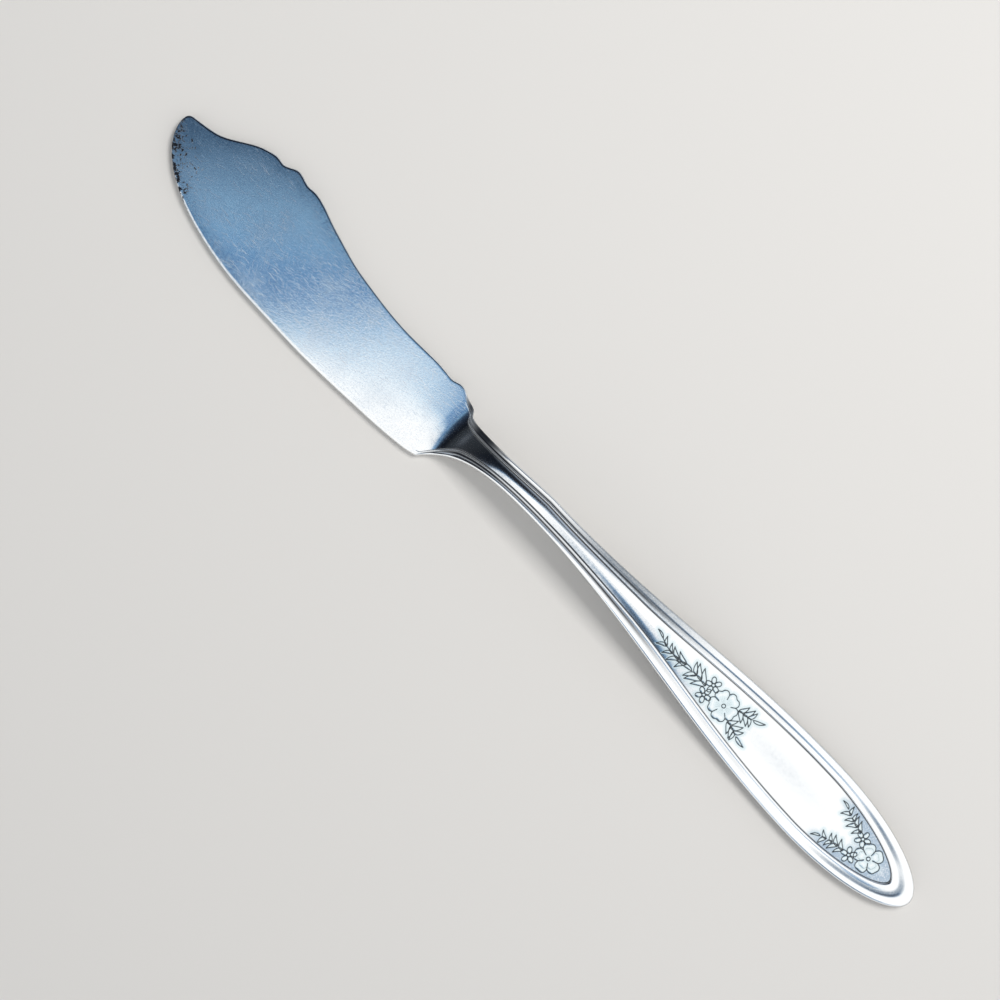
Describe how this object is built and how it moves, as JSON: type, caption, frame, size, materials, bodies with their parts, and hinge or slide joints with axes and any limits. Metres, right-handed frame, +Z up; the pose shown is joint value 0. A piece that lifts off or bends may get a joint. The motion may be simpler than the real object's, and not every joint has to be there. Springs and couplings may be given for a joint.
{
  "type": "master butter knife",
  "caption": "Flat-handled master butter knife with a wide curved blade, a lobed spine, an arched neck and a moulded handle with a sunk panel.",
  "frame": {"origin": "on the table, under the middle of the knife's bounding box in plan", "axes": "+X from the blade tip to the handle's end, +Y from the cutting edge to the spine, +Z up out of the patterned face"},
  "size_m": [0.181, 0.0212, 0.0076],
  "materials": {
    "nickel_silver": "bare nickel silver, covered all round",
    "silver": "bright silver plate, worn, with dark oxide in the recesses"
  },
  "bodies": {
    "root": {"nickel_silver_blank": "nickel_silver", "silver_plate": "silver"}
  },
  "joints": []
}
